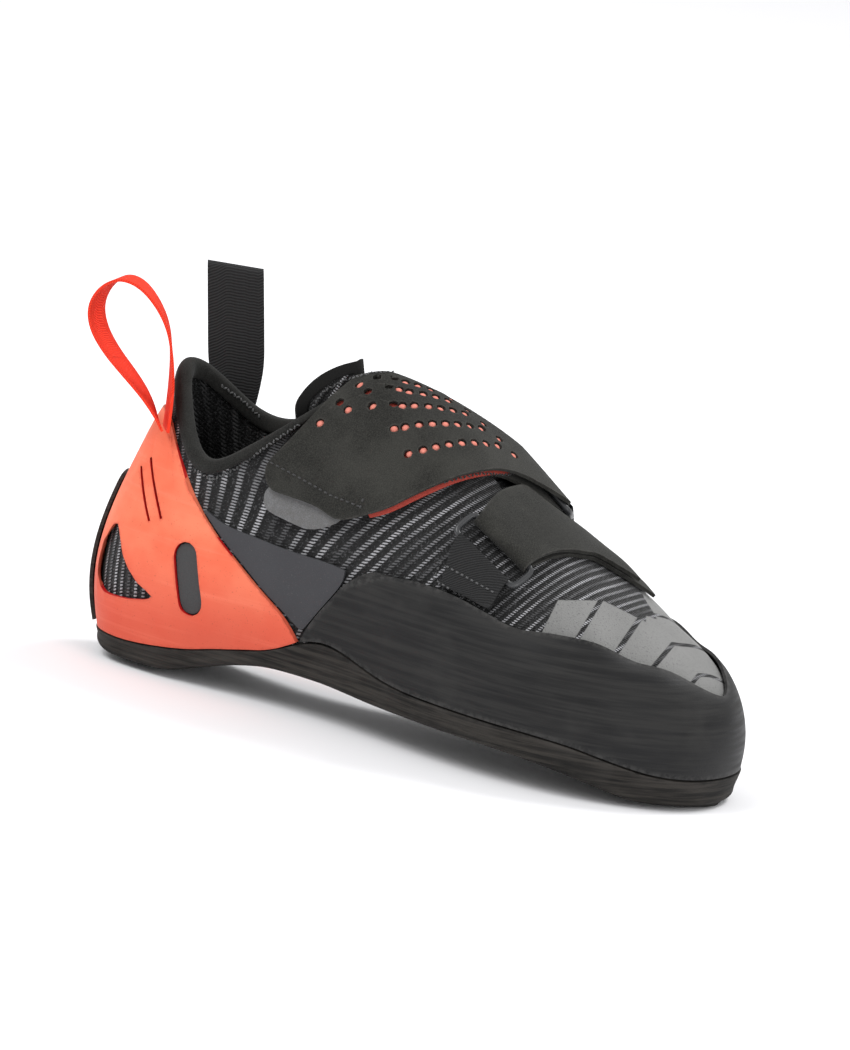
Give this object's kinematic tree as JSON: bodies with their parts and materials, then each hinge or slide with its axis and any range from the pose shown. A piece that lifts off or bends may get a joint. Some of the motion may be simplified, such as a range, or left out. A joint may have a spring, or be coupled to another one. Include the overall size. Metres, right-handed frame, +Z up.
{
  "type": "climbing shoe",
  "caption": "Low climbing shoe with a one-piece knit upper, rubber toe rand and heel cup, padded tongue, hook-and-loop straps through rings, and pull loops at the heel.",
  "frame": {"origin": "middle of the flat spot under the heel, on the floor plane", "axes": "+X from heel to toe, +Y towards the inner (big toe) side of a right shoe, +Z up"},
  "size_m": [0.2486, 0.088, 0.1331],
  "materials": {
    "knit": "dark heathered rib knit",
    "sole_rubber": "sanded brownish black rubber",
    "footbed": "dark terry",
    "rand_rubber": "matt black rubber with fine streaks",
    "cup_rubber": "matt coral orange rubber",
    "panel_skin": "smooth charcoal film",
    "inset_rubber": "matt dark grey rubber",
    "tongue_padding": "dark heathered knit over padding",
    "binding_suede": "napped black tape",
    "strap_suede": "napped olive black microfibre",
    "coral_lining": "coral felt",
    "tab_tape": "light grey tape",
    "coated_wire": "satin black coating",
    "black_webbing": "woven black webbing",
    "orange_ribbon": "ribbed orange red ribbon"
  },
  "bodies": {
    "root": {"upper": "knit", "outsole": "sole_rubber", "heel_strip": "sole_rubber", "insole": "footbed", "toe_rand": "rand_rubber", "heel_cup": "cup_rubber", "side_panel_outer": "panel_skin", "side_panel_inner": "panel_skin", "inset_pad_outer": "inset_rubber", "inset_pad_inner": "inset_rubber", "tongue": "tongue_padding", "collar_binding": "binding_suede", "upper_strap": "strap_suede", "lower_strap": "strap_suede", "upper_strap_lining": "coral_lining", "pull_tab": "tab_tape", "lower_ring": "coated_wire", "upper_ring": "coated_wire", "lower_ring_keeper": "black_webbing", "upper_ring_keeper": "black_webbing", "heel_loop_orange": "orange_ribbon", "heel_loop_black": "black_webbing"}
  },
  "joints": []
}
